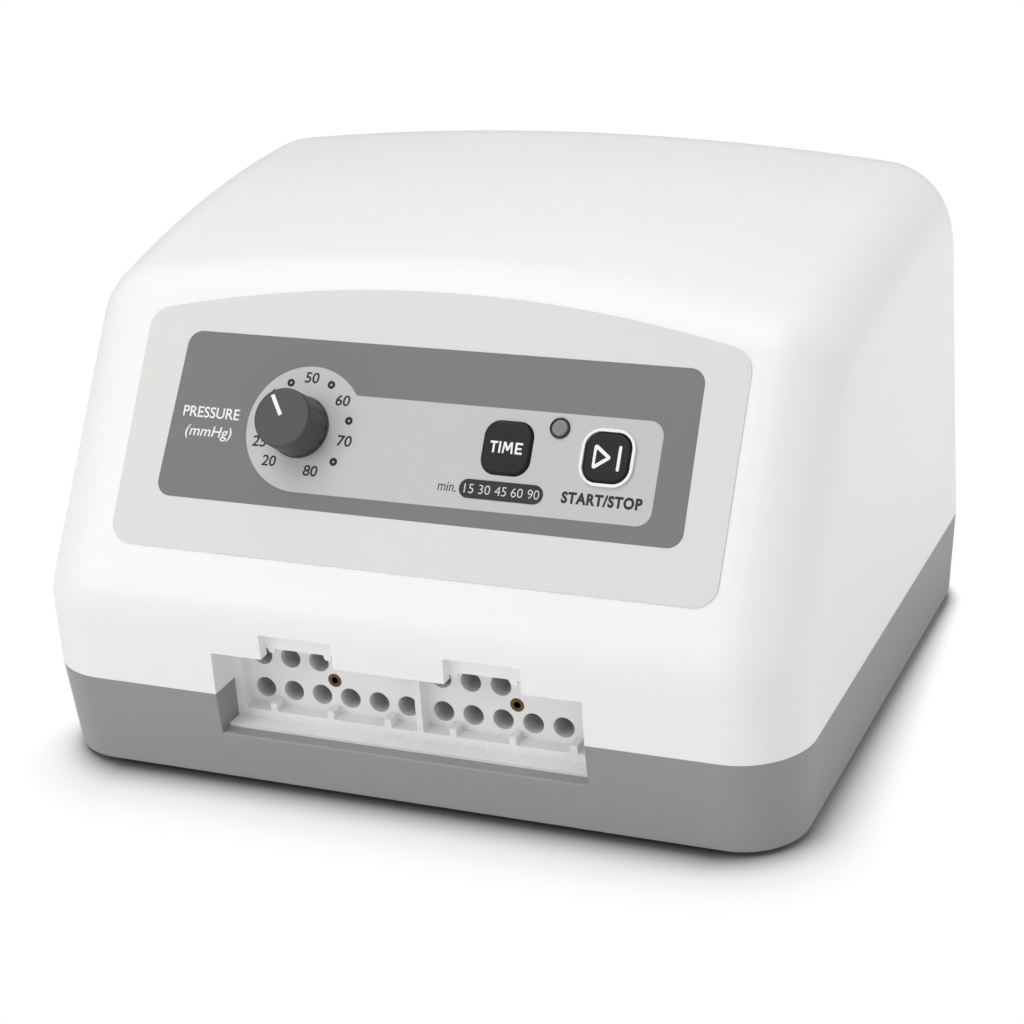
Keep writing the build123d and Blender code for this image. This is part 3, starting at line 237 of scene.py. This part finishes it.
def moulded(name, colour, gloss, grain, depth, mottle=0.02, shine=0.5):
    """Injection-moulded plastic: a spark-eroded grain, and a faint drift of tone over the wall."""
    finish = Finish(name)
    drift = finish.noise(14.0, 3.0)
    dark = tuple(channel * (1 - mottle) for channel in colour)
    light = tuple(min(channel * (1 + mottle), 1.0) for channel in colour)
    skin = finish.blend(drift, dark, light)
    fine = finish.noise(grain, 2.0)
    rough = gloss + 0.08 * (fine - 0.5) + 0.06 * (drift - 0.5)
    return finish.set(Base_Color=skin, Roughness=rough, Normal=finish.relief(fine, depth),
                      Specular_IOR_Level=shine)


def dress(material, *names):
    """Gives CAD nodes a finish."""
    for name in names:
        mesh = nodes[name].data
        mesh.materials.clear()
        mesh.materials.append(material)


cover_white = moulded("cover_white", paint(0.966, 0.958, 0.968), 0.36, 2600.0, 0.00001, 0.008)
dress(cover_white, "upper_shell")

# Base tray. Grey ABS tray that closes the cover from below; a coarser grain than the
# cover's hides the scuffs of the table.
tray_grey = moulded("tray_grey", paint(0.58, 0.58, 0.577), 0.38, 2100.0, 0.000018, 0.02)
dress(tray_grey, "base_tray")

# Panel overlay. Matt polyester film, printed from behind and stuck into the slope; the
# grey band, the lighter field and the lettering are ink layers a few hundredths thick.
skirt_bend = 67.0
slope_lean = 34.4
label_face = 0.4
ink = 0.03
body_front = cad_bounds[0][1]
lean = radians(slope_lean)
slope = Matrix(((1, 0, 0, 0),
                (0, sin(lean), -cos(lean), body_front),
                (0, cos(lean), sin(lean), skirt_bend * MM),
                (0, 0, 0, 1)))
label_grey = moulded("label_grey", paint(0.875, 0.871, 0.863), 0.5, 5200.0, 0.000004, 0.006)
dress(label_grey, "panel_overlay")


def settle(shape, name, place, material, body):
    """Turns a curve or text into a plain mesh at its place, finished and riding on its body."""
    scene.collection.objects.link(shape)
    bpy.context.view_layer.update()
    graph = bpy.context.evaluated_depsgraph_get()
    mesh = bpy.data.meshes.new_from_object(shape.evaluated_get(graph))
    bpy.data.objects.remove(shape)
    mesh.transform(place)
    return finished(mesh, name, material, body)


def finished(mesh, name, material, body):
    form = bmesh.new()
    form.from_mesh(mesh)
    bmesh.ops.remove_doubles(form, verts=form.verts, dist=1e-7)
    bmesh.ops.recalc_face_normals(form, faces=form.faces)
    form.to_mesh(mesh)
    form.free()
    mesh.name = name
    mesh.materials.clear()
    mesh.materials.append(material)
    piece = bpy.data.objects.new(name, mesh)
    scene.collection.objects.link(piece)
    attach(piece, body)
    return piece


def on_slope(height):
    """Place in the frame of the slope, millimetres above its face, for shapes drawn in millimetres."""
    return slope @ Matrix.Translation((0, 0, height * MM)) @ Matrix.Scale(MM, 4)


def arc(u, v, radius, start, stop, steps=12):
    """Points of an arc, angles in degrees, anticlockwise from the right."""
    angles = [radians(start + (stop - start) * step / steps) for step in range(steps + 1)]
    return [(u + radius * cos(angle), v + radius * sin(angle)) for angle in angles]


def eased(points, corner, steps=10):
    """Outline through the given corners, each rounded off."""
    outline = []
    for index, point in enumerate(points):
        here = Vector(point)
        before = (Vector(points[index - 1]) - here).normalized()
        after = (Vector(points[(index + 1) % len(points)]) - here).normalized()
        half = before.angle(after) / 2
        centre = here + (before + after).normalized() * corner / sin(half)
        first = here + before * corner / tan(half) - centre
        last = here + after * corner / tan(half) - centre
        for step in range(steps + 1):
            outline.append(centre + first.lerp(last, step / steps).normalized() * corner)
    return outline


def about(u, v, width, height, corner):
    """Outline of an upright rectangle with round corners."""
    left, right, low, high = u - width / 2, u + width / 2, v - height / 2, v + height / 2
    return eased([(left, low), (right, low), (right, high), (left, high)], corner)


def printed(name, outlines, material, body="case", height=label_face, thick=ink):
    """Ink layer with the given outlines; an outline inside another leaves a hole."""
    curve = bpy.data.curves.new(name, "CURVE")
    curve.dimensions = "2D"
    curve.fill_mode = "BOTH"
    curve.extrude = thick / 2
    for outline in outlines:
        spline = curve.splines.new("POLY")
        spline.points.add(len(outline) - 1)
        for point, (u, v) in zip(spline.points, outline):
            point.co = (u, v, 0, 1)
        spline.use_cyclic_u = True
    shape = bpy.data.objects.new(name + "_curve", curve)
    return settle(shape, name, on_slope(height + thick / 2), material, body)


dial_u, dial_v = -42.0, 65.9
dial_radius = 21.9
field_top, field_right, field_low = 79.0, 86.2, 44.3
field_corner = 5.2
notch_round = 1.2
rise = field_top - dial_v
reach = ((dial_radius + notch_round) ** 2 - (rise + notch_round) ** 2) ** 0.5
field_outline = (arc(field_right - field_corner, field_top - field_corner, field_corner, 90, 0)
                 + arc(field_right - field_corner, field_low + field_corner, field_corner, 0, -90)
                 + arc(dial_u, dial_v, dial_radius, 270, 38.2, 60)
                 + arc(dial_u + reach, field_top + notch_round, notch_round, 218.2, 270, 6))
time_u, time_v, time_width, time_height = 33.2, 65.75, 17.1, 17.9
start_u, start_v, start_width, start_height = 68.5, 65.5, 18.5, 19.2
lamp_u, lamp_v = 50.5, 73.95
window_u, window_v, window_width, window_height = 33.4, 51.2, 29.8, 6.4
gap = 0.3
cutouts = [about(time_u, time_v, time_width + 2 * gap, time_height + 2 * gap, 5.5),
           about(start_u, start_v, start_width, start_height, 6.8),
           about(window_u, window_v, window_width, window_height, window_height / 2 - 0.01),
           arc(lamp_u, lamp_v, 3.15, 0, 345, 23), arc(dial_u, dial_v, 6.0, 0, 345, 23)]
ink_band = moulded("ink_band", paint(0.462, 0.468, 0.465), 0.55, 5200.0, 0.000004, 0.01)
ink_field = moulded("ink_field", paint(0.777, 0.772, 0.764), 0.55, 5200.0, 0.000004, 0.01)
ink_black = moulded("ink_black", paint(0.07, 0.07, 0.075), 0.5, 5200.0, 0.000003, 0.02)
ink_white = moulded("ink_white", paint(0.96, 0.96, 0.96), 0.5, 5200.0, 0.000003, 0.01)
band_corners = [(-94.6, 38.3), (98.0, 38.3), (97.2, 97.35), (-92.5, 97.35)]
printed("print_band", [eased(band_corners, 5.3), field_outline], ink_band)
printed("print_field", [field_outline] + cutouts, ink_field)


def lettering(name, words, u, v, size, material, width=None, weight=0.0, body="case",
              height=label_face + ink, slot="label", slant=0.0, spread=1.0):
    """Words centred on a spot, capitals as high as the size, squeezed to a width where one is given."""
    text = bpy.data.curves.new(name, "FONT")
    text.body = words
    text.size = 10.0
    text.align_x = "CENTER"
    text.offset = weight
    text.shear = slant
    text.space_character = spread
    text.resolution_u = 4
    text.extrude = ink / 2
    shape = bpy.data.objects.new(name + "_text", text)
    piece = settle(shape, name, Matrix.Identity(4), material, body)
    mesh = piece.data
    xs = [vertex.co.x for vertex in mesh.vertices]
    ys = [vertex.co.y for vertex in mesh.vertices]
    across = (width or (max(xs) - min(xs)) * size / (max(ys) - min(ys))) / (max(xs) - min(xs))
    up = size / (max(ys) - min(ys))
    centre = Matrix.Translation((-(max(xs) + min(xs)) / 2, -(max(ys) + min(ys)) / 2, 0))
    mesh.transform(on_slope(height + ink / 2) @ Matrix.Translation((u, v, 0))
                   @ Matrix.Diagonal((across, up, 1, 1)) @ centre)
    return piece


lettering("print_pressure", "PRESSURE", -78.5, 68.7, 3.9, ink_white, 22.0, 0.1)
lettering("print_unit", "(mmHg)", -78.3, 61.5, 5.0, ink_white, 18.0, 0.05, slant=0.15)
lettering("print_minutes", "min.", 14.1, 51.2, 3.2, ink_black, 6.6, slant=0.1)
lettering("print_start_stop", "START/STOP", 68.7, 51.4, 4.0, ink_black, 27.9, 0.46, spread=1.12)

# Dial print. The scale of the dial in millimetres of mercury: numbers at 20 and 25 and
# then at every ten, and a small ring half-way between the upper ones.
dial_numbers = [("20", -137, 16.3), ("25", -109, 17.0), ("30", -85, 15.2), ("40", -50, 17.4),
                ("50", -1, 18.0), ("60", 49, 16.8), ("70", 100, 16.2), ("80", 160, 15.0)]
dial_rings = [(-68, 15.0), (-27, 17.6), (24.5, 17.7), (75.4, 16.8), (128, 16.7)]
digit_height = 3.85
digit_width = 5.4
ring_outer = 1.4
ring_inner = 0.4


def on_dial(clock, out):
    """Spot on the slope at an angle clockwise from the top of the dial, in degrees."""
    return dial_u + out * sin(radians(clock)), dial_v + out * cos(radians(clock))


for words, clock, out in dial_numbers:
    weight = 0.04 if "4" in words else 0.16
    lettering("print_dial_" + words, words, *on_dial(clock, out), digit_height, ink_black, digit_width,
              weight, slant=0.08)


class Growth:
    """A Geometry Nodes tree under construction, with named inputs for its sizes."""

    def __init__(self, name, sizes):
        self.tree = bpy.data.node_groups.new(name, "GeometryNodeTree")
        self.tree.interface.new_socket("Geometry", in_out="INPUT", socket_type="NodeSocketGeometry")
        self.tree.interface.new_socket("Geometry", in_out="OUTPUT", socket_type="NodeSocketGeometry")
        self.slots = {}
        for size, value in sizes.items():
            kind = "NodeSocketInt" if isinstance(value, int) else "NodeSocketFloat"
            slot = self.tree.interface.new_socket(size, in_out="INPUT", socket_type=kind)
            self.slots[size] = (slot.identifier, value)
        self.given = self.tree.nodes.new("NodeGroupInput").outputs

    def node(self, kind, settings, inputs):
        made = self.tree.nodes.new(kind)
        for name, value in settings.items():
            setattr(made, name, value)
        for name, value in inputs.items():
            slot = made.inputs[name]
            if isinstance(value, bpy.types.NodeSocket):
                self.tree.links.new(value, slot)
            else:
                slot.default_value = value
        return made.outputs

    def grow(self, points, last, material):
        """Plain mesh of what the tree makes on the given points."""
        real = self.node("GeometryNodeRealizeInstances", {}, {"Geometry": last})[0]
        dyed = self.node("GeometryNodeSetMaterial", {}, {"Geometry": real, "Material": material})[0]
        self.tree.links.new(dyed, self.tree.nodes.new("NodeGroupOutput").inputs[0])
        seed = bpy.data.meshes.new("seed")
        seed.from_pydata(points, [], [])
        carrier = bpy.data.objects.new("carrier", seed)
        scene.collection.objects.link(carrier)
        modifier = carrier.modifiers.new("growth", "NODES")
        modifier.node_group = self.tree
        for identifier, value in self.slots.values():
            modifier[identifier] = value
        bpy.context.view_layer.update()
        graph = bpy.context.evaluated_depsgraph_get()
        mesh = bpy.data.meshes.new_from_object(carrier.evaluated_get(graph))
        carrier.modifiers.remove(modifier)
        bpy.data.objects.remove(carrier)
        return mesh


growth = Growth("ring_marks", {"Ring radius": (ring_outer + ring_inner) / 2 * MM,
                               "Line": (ring_outer - ring_inner) * MM, "Ink": ink * MM, "Sides": 28})
given = growth.given
circle = growth.node("GeometryNodeCurvePrimitiveCircle", {},
                     {"Resolution": given["Sides"], "Radius": given["Ring radius"]})[0]
section = growth.node("GeometryNodeCurvePrimitiveQuadrilateral", {},
                      {"Width": given["Line"], "Height": given["Ink"]})[0]
ring = growth.node("GeometryNodeCurveToMesh", {}, {"Curve": circle, "Profile Curve": section})[0]
marks = growth.node("GeometryNodeInstanceOnPoints", {},
                    {"Points": given["Geometry"], "Instance": ring, "Rotation": slope.to_euler()})[0]
spots = [on_slope(label_face + 1.5 * ink) @ Vector((*on_dial(clock, out), 0)) for clock, out in dial_rings]
finished(growth.grow(spots, marks, ink_black), "print_dial_rings", ink_black, "case")

# Time key and its window. The key is a dark cap with a white word; the window below it
# is a smoked pill whose minutes light up from behind.
key_dark = moulded("key_dark", paint(0.08, 0.085, 0.095), 0.42, 3000.0, 0.000006, 0.03, 0.28)
window_smoke = moulded("window_smoke", paint(0.08, 0.08, 0.08), 0.5, 5200.0, 0.000002, 0.02)
ink_lit = moulded("ink_lit", paint(0.86, 0.86, 0.86), 0.5, 5200.0, 0.000003, 0.01)
key_face = 1.4
window_face = 0.6
minutes = ("15", "30", "45", "60", "90")
minute_pitch = 5.8
minute_height, minute_width = 3.1, 4.1
dress(key_dark, "time_button", "start_button")
dress(window_smoke, "time_window")
letter_high = 3.9
letter_line = 0.7


def letters_time(u, v):
    """Outlines of the four heavy letters on the time key, with the lower left corner of the word given."""
    high, line = letter_high, letter_line
    bar = high - line
    arm = 1.55
    letter_t = [(1.0, 0), (1.7, 0), (1.7, bar), (2.65, bar), (2.65, high), (0, high), (0, bar), (1.0, bar)]
    letter_i = [(3.15, 0), (3.85, 0), (3.85, high), (3.15, high)]
    letter_m = [(4.5, 0), (5.1, 0), (5.3, 2.7), (6.1, 0.9), (6.6, 0.9), (7.4, 2.7), (7.6, 0), (8.25, 0),
                (7.95, high), (7.15, high), (6.35, 2.0), (5.6, high), (4.75, high)]
    letter_e = [(9.0, 0), (11.6, 0), (11.6, line), (9.7, line), (9.7, arm), (11.3, arm), (11.3, arm + 0.65),
                (9.7, arm + 0.65), (9.7, bar), (11.6, bar), (11.6, high), (9.0, high)]
    letters = (letter_t, letter_i, letter_m, letter_e)
    return [[(u + across, v + up) for across, up in letter] for letter in letters]


word_half = 5.85
word = letters_time(time_u - word_half, time_v - letter_high / 2)
printed("print_time", word, ink_white, "time_key", key_face)
for step, words in enumerate(minutes):
    narrow = words.startswith("1")
    u = window_u + (step - 2) * minute_pitch + 0.25 * narrow
    wide = minute_width - 0.7 * narrow
    lettering("print_minute_" + words, words, u, window_v, minute_height, ink_lit, wide, -0.08,
              height=window_face, slot="window")

# Start and stop key. A white surround frames a dark cap, which carries the outline of a
# triangle and a bar.
surround_white = moulded("surround_white", paint(0.95, 0.95, 0.95), 0.35, 3000.0, 0.000004, 0.01)
dress(surround_white, "start_surround")
stroke = 1.05


def capsule(u, v0, v1, width):
    return arc(u, v1, width / 2, 0, 180) + arc(u, v0, width / 2, 180, 360)


def wedge(u, v, depth, half, corner):
    """Round-cornered triangle that points to the right."""
    tip = 55.0
    return (arc(u + depth, v, corner, -tip, tip, 8) + arc(u, v + half, corner, tip, 180, 8)
            + arc(u, v - half, corner, 180, 360 - tip, 8))


mark_left = start_u - 3.95
bar_u = start_u + 4.2
bar_half = 3.7
printed("print_start_mark", [wedge(mark_left, start_v, 4.35, 3.15, 0.8),
                             wedge(mark_left + 0.25, start_v, 3.3, 2.3, 0.12),
                             capsule(bar_u, start_v - bar_half, start_v + bar_half, stroke)],
        ink_white, "start_key", key_face)

# Status lamp. A grey diffusing lens over a small light source on the board, pressed into
# a dark moulded bezel that sits in the label's cutout.
lens_grey = moulded("lens_grey", paint(0.50, 0.505, 0.50), 0.25, 1500.0, 0.00002, 0.05)
bezel_black = moulded("bezel_black", paint(0.12, 0.12, 0.125), 0.35, 4000.0, 0.000005, 0.03)
dress(lens_grey, "status_lens", "indicator_leds")
dress(bezel_black, "status_bezel")

# Pressure knob. Turned-look moulded cap on the dial's shaft, with a fine flute round its
# side and a white line let into its top.
knob_grey = moulded("knob_grey", paint(0.275, 0.275, 0.272), 0.45, 3200.0, 0.000008, 0.02)
pointer_white = moulded("pointer_white", paint(0.97, 0.97, 0.97), 0.4, 5000.0, 0.000003, 0.01)
dress(knob_grey, "pressure_knob")
dress(pointer_white, "knob_pointer")

# Manifold and plug keepers. White moulded block with the air ports; the plugs' grease
# and dust leave a faint tint low in the bays, and painted shade darkens the block deeper
# than the port face.
port_face = -0.0979
ledge_height = 0.0205
tint_fade = 0.00625
port_shade_depth = 0.003846
speck_floor = 0.62
block = Finish("block_white")
across, along, up = block.split()
low = (1 - (up - ledge_height) / tint_fade).at_least(0.0).at_most(1.0)
specks = (block.noise(900.0, 4.0) - speck_floor).at_least(0.0) * 1.5
grime = (low * 0.2 * block.noise(220.0, 3.0) + specks).at_most(1.0)
# Painted shade: the block's colour darkens with depth past the port face, standing in for the shade down in
# the ports.
inside = ((along - port_face) / port_shade_depth).at_least(0.0).at_most(1.0)
painted_shade_walls = block.blend(inside, paint(0.985, 0.978, 0.98), paint(0.84, 0.835, 0.83))
block_skin = block.blend(grime, painted_shade_walls, paint(0.66, 0.64, 0.60))
block_grain = block.noise(2200.0)
block_white = block.set(Base_Color=block_skin, Roughness=0.38 + 0.1 * block_grain,
                        Normal=block.relief(block_grain, 0.000012))
dress(block_white, "manifold_block", "plug_keeper_left", "plug_keeper_right")

# Threaded inserts. Turned brass sleeves with a thread cut inside, pressed into the block
# one to a bay; the mains pins are of the same brass.
brass = Finish("turned_brass")
turning = brass.noise(1800.0, 3.0)
brass_skin = brass.blend(turning, paint(0.16, 0.13, 0.07), paint(0.55, 0.47, 0.30))
turned_brass = brass.set(Base_Color=brass_skin, Metallic=1.0, Roughness=0.28 + 0.2 * turning,
                         Normal=brass.relief(turning, 0.00002))
dress(turned_brass, "threaded_insert_left", "threaded_insert_right", "inlet_pins")

# Dial's works and control board. A potentiometer nutted to the slope, and a green board
# behind the keys with its switches, lamps and components, held by four screws.
board_green = moulded("board_green", paint(0.10, 0.36, 0.20), 0.4, 900.0, 0.00003, 0.08)
part_black = moulded("part_black", paint(0.13, 0.13, 0.14), 0.45, 1800.0, 0.00002, 0.05)
nylon = moulded("natural_nylon", paint(0.88, 0.87, 0.82), 0.42, 1500.0, 0.00002, 0.03)


def metal(name, dark, light, rough, scale, stretch):
    """Bare metal with a drawn or ground grain."""
    finish = Finish(name)
    grain = finish.noise(scale, 4.0, stretch)
    skin = finish.blend(grain, dark, light)
    return finish.set(Base_Color=skin, Metallic=1.0, Roughness=rough + 0.15 * grain,
                      Normal=finish.relief(grain, 0.00001))


zinc = metal("zinc_steel", paint(0.60, 0.60, 0.60), paint(0.78, 0.79, 0.80), 0.3, 900.0, (1, 1, 1))
dress(board_green, "control_board")
dress(part_black, "potentiometer", "key_switches")
dress(nylon, "pot_shaft")
dress(zinc, "pot_nut", "board_screws")

# Air lines. A nylon cover closes the manifold from behind, and soft silicone hoses lead
# from it to the valve and from the valve to the compressor.
silicone = moulded("silicone_hose", paint(0.86, 0.86, 0.84), 0.3, 700.0, 0.00002, 0.03)
dress(nylon, "manifold_cover")
dress(zinc, "manifold_screws")
dress(silicone, "outlet_hose_1", "outlet_hose_2", "outlet_hose_3", "outlet_hose_4", "supply_hose",
      "balance_hose")

# Rotary valve. A nylon body and cover hold the rotor that shares out the air; the gear
# motor below is closed in a drawn and plated can.
can = metal("plated_can", paint(0.62, 0.62, 0.63), paint(0.74, 0.74, 0.75), 0.35, 300.0, (1, 1, 8))
dress(nylon, "valve_body", "valve_rotor", "valve_cover")
dress(zinc, "valve_screws")
dress(can, "valve_motor")

# Compressor. An armature swings between two laminated cores with copper coils and works a
# diaphragm at each end; all of it stands on rubber mounts on a steel plate.
rubber = moulded("black_rubber", paint(0.10, 0.10, 0.10), 0.75, 1400.0, 0.00004, 0.05)
stack = metal("laminated_steel", paint(0.22, 0.22, 0.23), paint(0.40, 0.40, 0.41), 0.5, 60.0, (1, 60, 1))
copper = metal("wound_copper", paint(0.50, 0.22, 0.10), paint(0.78, 0.42, 0.24), 0.35, 60.0, (1, 1, 40))
cast = metal("cast_alloy", paint(0.62, 0.63, 0.64), paint(0.80, 0.80, 0.81), 0.45, 500.0, (1, 1, 1))
dress(zinc, "pump_plate", "armature")
dress(rubber, "rubber_mounts", "diaphragms")
dress(stack, "stator_cores")
dress(copper, "stator_coils")
dress(cast, "end_frames")
dress(nylon, "pump_heads", "intake_filter")

# Power supply. A green board with a laminated transformer, its copper winding and the
# capacitors, screwed to posts in the tray.
dress(board_green, "supply_board")
dress(part_black, "supply_parts")
dress(stack, "transformer_core")
dress(copper, "transformer_winding")
dress(zinc, "supply_screws")

# Rear entry and fan. One black moulded housing holds the brass pins, the fuse drawer and
# the rocker switch; the fan beside it blows out through slots in the cover.
inlet_black = moulded("inlet_black", paint(0.11, 0.11, 0.115), 0.42, 2400.0, 0.000015, 0.04)
dress(inlet_black, "inlet_housing", "fuse_drawer", "power_rocker", "fan_frame", "fan_rotor")
dress(zinc, "inlet_screws", "fan_screws")

# Feet and case screws. Black rubber feet pressed into the tray, and zinc-plated screws
# that pull the cover down from below.
dress(rubber, "rubber_feet")
dress(zinc, "case_screws")

# Floor. Seamless white paper: a soft shadow lies round the foot of the case, partly cast
# by the lamps and partly a painted shadow that darkens the paper's colour for the camera;
# further out the paper is lit up to plain white.
paper_size = 4.0
reach_ahead = 0.042
reach_beside = 0.007
least_reach = 0.002
painted_shadow_rim = 0.45
foot_corner = 0.0275
corner_inset = 0.03
foot_x, foot_y = cad_bounds[1][0] - corner_inset, cad_bounds[1][1] - corner_inset
paper = Finish("paper")
across, along, up = paper.split()
past_x = (across.size() - foot_x).at_least(0.0)
past_y = (along.size() - foot_y).at_least(0.0)
ahead = (0.0 - along - foot_y).at_least(0.0)
away = ((past_x * past_x + past_y * past_y).root() - foot_corner).at_least(0.0)
beside = (reach_beside + across * 0.06 - along * 0.1).at_least(least_reach)
toward = ahead / (past_x + ahead + 0.000001)
reach = beside + (reach_ahead - beside) * toward
spread = (away / reach).at_most(1.0)
lit = spread * spread * (3 - 2 * spread)
looked_at = paper.node("ShaderNodeLightPath", {}, {})["Is Camera Ray"]
# Painted shadow: near the foot the paper's colour darkens, most in front, for camera rays only.
close = (spread / painted_shadow_rim).at_most(1.0)
shaded = 1 - (1 - close) * (1 - close) * looked_at
painted_shadow_tone = paper.blend(toward, paint(0.70, 0.70, 0.70), paint(0.38, 0.38, 0.38))
paper.set(Base_Color=paper.blend(shaded, painted_shadow_tone, paint(0.965, 0.965, 0.965)),
          Roughness=0.85 + 0.1 * paper.noise(60.0, 4.0), Specular_IOR_Level=0.0)
glow = paper.node("ShaderNodeEmission", {}, {"Strength": 1.0})["Emission"]
pick = paper.tree.nodes.new("ShaderNodeMixShader")
paper.tree.links.new((lit * looked_at).socket, pick.inputs[0])
paper.tree.links.new(paper.surface.outputs["BSDF"], pick.inputs[1])
paper.tree.links.new(glow.socket, pick.inputs[2])
paper.tree.links.new(pick.outputs[0], paper.tree.nodes["Material Output"].inputs["Surface"])
floor_mesh = bpy.data.meshes.new("floor")
edge = paper_size / 2
sheet_corners = [(-edge, -edge, 0), (edge, -edge, 0), (edge, edge, 0), (-edge, edge, 0)]
floor_mesh.from_pydata(sheet_corners, [], [(0, 1, 2, 3)])
floor_mesh.materials.append(paper.material)
floor = bpy.data.objects.new("floor", floor_mesh)
scene.collection.objects.link(floor)
